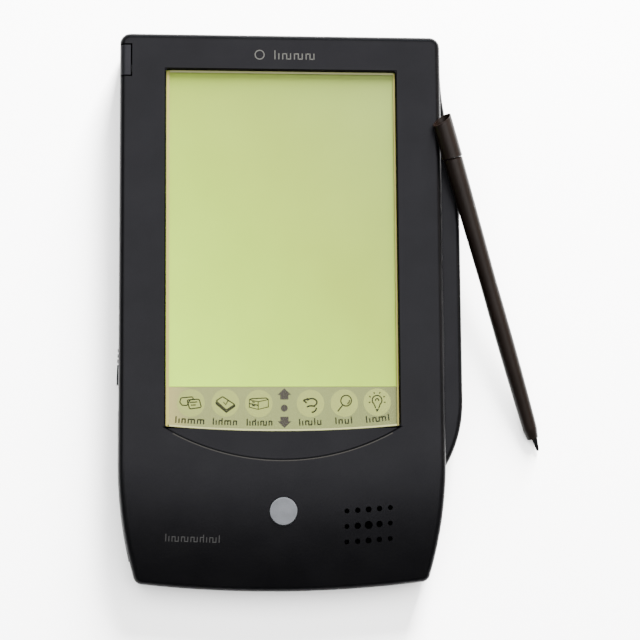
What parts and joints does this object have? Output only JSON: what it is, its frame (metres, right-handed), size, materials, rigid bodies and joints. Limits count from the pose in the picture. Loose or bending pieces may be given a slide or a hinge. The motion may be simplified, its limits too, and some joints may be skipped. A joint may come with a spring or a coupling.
{
  "type": "personal digital assistant",
  "caption": "Pen-operated handheld organiser with a reflective touch display, icon strip, speaker, side stylus bay, card bay and a loose stylus leaning on its side.",
  "frame": {"origin": "on the flat underside, midway along the case and midway across it", "axes": "+Z out of the display, +Y towards the top of the screen, +X to the right as the screen is read"},
  "size_m": [0.1417, 0.184, 0.0256],
  "materials": {
    "case_plastic": "fine matte",
    "bay_plastic": "fine matte",
    "key_plastic": "satin",
    "grip_rubber": "matt",
    "foot_rubber": "matt",
    "stylus_plastic": "satin",
    "nib_plastic": "satin",
    "touch_film": "anti-glare",
    "lcd_green": "matt",
    "strip_print": "matt print",
    "reflector_foil": "matt",
    "inner_plastic": "moulded",
    "gasket_foam": "matt",
    "badge_metal": "satin",
    "mesh_cloth": "woven",
    "steel": "plated",
    "brass_gold": "plated",
    "speaker_steel": "plated",
    "cell_jacket": "printed sleeve",
    "circuit_board": "solder mask",
    "chip_resin": "moulded resin",
    "flex_film": "film",
    "black_plastic": "moulded",
    "infrared_acrylic": "polished"
  },
  "bodies": {
    "case": {"front_cover": "case_plastic", "rear_cover": "case_plastic", "stylus_bay": "bay_plastic", "grip_strips": "grip_rubber", "rubber_feet": "foot_rubber", "case_screws": "steel", "touch_panel": "touch_film", "lcd_glass": "lcd_green", "icon_strip": "strip_print", "lcd_reflector": "reflector_foil", "display_gasket": "gasket_foam", "lcd_frame": "inner_plastic", "lcd_driver_board": "circuit_board", "display_flex": "flex_film", "speaker_mesh": "mesh_cloth", "speaker_gasket": "gasket_foam", "speaker": "speaker_steel", "badge": "badge_metal", "aaa_cells": "cell_jacket", "battery_springs": "steel", "battery_contacts": "steel", "battery_tray": "inner_plastic", "coin_cell": "steel", "coin_cell_holder": "black_plastic", "main_board": "circuit_board", "board_screws": "steel", "processor_chip": "chip_resin", "rom_chips": "chip_resin", "ram_chips": "chip_resin", "interface_chips": "chip_resin", "crystals": "steel", "capacitors": "steel", "card_cage": "steel", "card_header": "black_plastic", "card_header_pins": "brass_gold", "flap_pin": "steel", "flap_spring": "steel", "latch_pin": "steel", "power_switch": "black_plastic", "contrast_potentiometer": "inner_plastic", "serial_port": "black_plastic", "serial_port_pins": "brass_gold", "power_jack": "black_plastic", "power_jack_pin": "steel", "infrared_window": "infrared_acrylic", "infrared_transceiver": "black_plastic", "reset_switch": "steel"},
    "stylus": {"stylus_barrel": "stylus_plastic", "stylus_cap": "stylus_plastic", "stylus_nib": "nib_plastic"},
    "battery_door": {"battery_door": "case_plastic"},
    "card_flap": {"card_slot_flap": "key_plastic"},
    "eject_key": {"card_eject_button": "key_plastic"},
    "latch_lever": {"card_latch_lever": "steel"},
    "power_slider": {"power_slider": "key_plastic"},
    "contrast_dial": {"contrast_dial": "key_plastic"},
    "reset_button": {"reset_button": "key_plastic"}
  },
  "joints": [
    {"name": "stylus_lift", "type": "slide", "parent": "case", "child": "stylus", "axis": [0, 0, 1], "range_m": [0, 0.05]},
    {"name": "battery_door_slide", "type": "slide", "parent": "case", "child": "battery_door", "axis": [0, -1, 0], "range_m": [0, 0.062]},
    {"name": "card_flap_hinge", "type": "hinge", "parent": "case", "child": "card_flap", "pos_m": [0.006, 0.0906, 0.003], "axis": [1, 0, 0], "range_deg": [0, 85], "stiffness_Nm_per_rad": 0.002, "springref_deg": -22.92},
    {"name": "eject_key_press", "type": "slide", "parent": "case", "child": "eject_key", "axis": [0, 0, -1], "range_m": [0, 0.0008], "stiffness_N_per_m": 400, "springref_m": -0.0005},
    {"name": "latch_lever_pivot", "type": "hinge", "parent": "case", "child": "latch_lever", "pos_m": [-0.038, 0.0824, 0.0074], "axis": [0, -1, 0], "range_deg": [0, 3.7]},
    {"name": "power_slide", "type": "slide", "parent": "case", "child": "power_slider", "axis": [0, -1, 0], "range_m": [0, 0.0025], "stiffness_N_per_m": 400, "springref_m": -0.0005},
    {"name": "contrast_turn", "type": "hinge", "parent": "case", "child": "contrast_dial", "pos_m": [-0.0483, 0.008, 0.008], "axis": [0, 0, 1], "range_deg": [-135, 135]},
    {"name": "reset_press", "type": "slide", "parent": "case", "child": "reset_button", "axis": [0, 0, 1], "range_m": [0, 0.0003], "stiffness_N_per_m": 400, "springref_m": -0.0003}
  ],
  "couplings": [
    {"joint": "latch_lever_pivot", "follows": "eject_key_press", "rad_per_m": 79.37}
  ]
}
